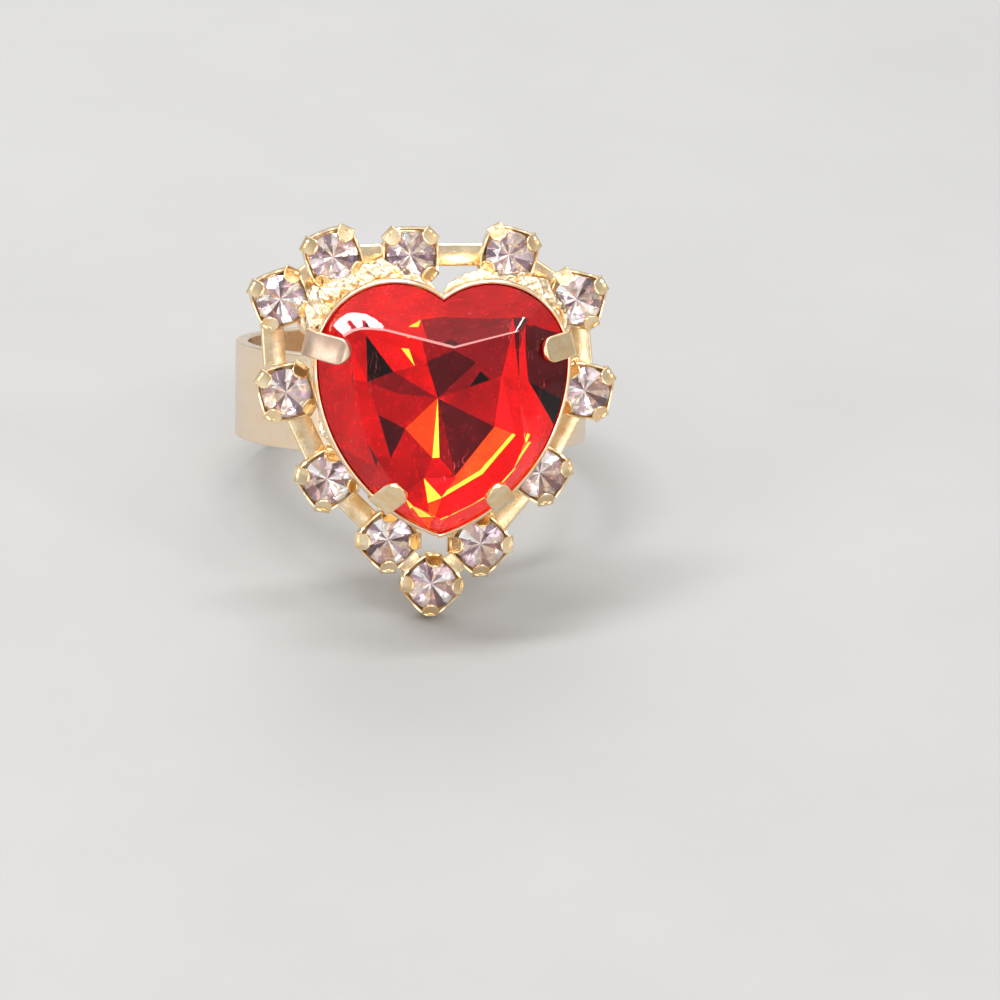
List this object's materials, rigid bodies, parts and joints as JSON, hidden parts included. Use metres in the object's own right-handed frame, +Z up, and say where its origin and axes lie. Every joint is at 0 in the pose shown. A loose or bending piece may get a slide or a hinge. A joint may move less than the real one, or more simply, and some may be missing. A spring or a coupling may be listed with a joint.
{
  "type": "heart ring",
  "caption": "Finger ring with a red faceted heart in a claw setting, ringed by a chain of small clear round stones in claw cups, on a flat open-backed band.",
  "frame": {"origin": "on the floor under the middle of the ring's box, as the ring lies by itself", "axes": "+Z up, -Y the way the heart faces, +X to the right of someone who looks at the face. The ring leans back on its tip cup and on the band's two rear ends"},
  "size_m": [0.0182, 0.0242, 0.0183],
  "materials": {
    "gold_metal": "polished, pale gold plated",
    "red_glass": "polished facets, mirror-backed",
    "clear_glass": "polished facets, mirror-backed"
  },
  "bodies": {
    "root": {"band": "gold_metal", "heart_setting": "gold_metal", "heart_stone": "red_glass", "cup_01": "gold_metal", "link_01": "gold_metal", "round_stone_01": "clear_glass", "cup_02": "gold_metal", "link_02": "gold_metal", "round_stone_02": "clear_glass", "cup_03": "gold_metal", "link_03": "gold_metal", "round_stone_03": "clear_glass", "cup_04": "gold_metal", "link_04": "gold_metal", "round_stone_04": "clear_glass", "cup_05": "gold_metal", "link_05": "gold_metal", "round_stone_05": "clear_glass", "cup_06": "gold_metal", "link_06": "gold_metal", "round_stone_06": "clear_glass", "cup_07": "gold_metal", "link_07": "gold_metal", "round_stone_07": "clear_glass", "cup_08": "gold_metal", "link_08": "gold_metal", "round_stone_08": "clear_glass", "cup_09": "gold_metal", "link_09": "gold_metal", "round_stone_09": "clear_glass", "cup_10": "gold_metal", "link_10": "gold_metal", "round_stone_10": "clear_glass", "cup_11": "gold_metal", "link_11": "gold_metal", "round_stone_11": "clear_glass", "cup_12": "gold_metal", "link_12": "gold_metal", "round_stone_12": "clear_glass"}
  },
  "joints": []
}
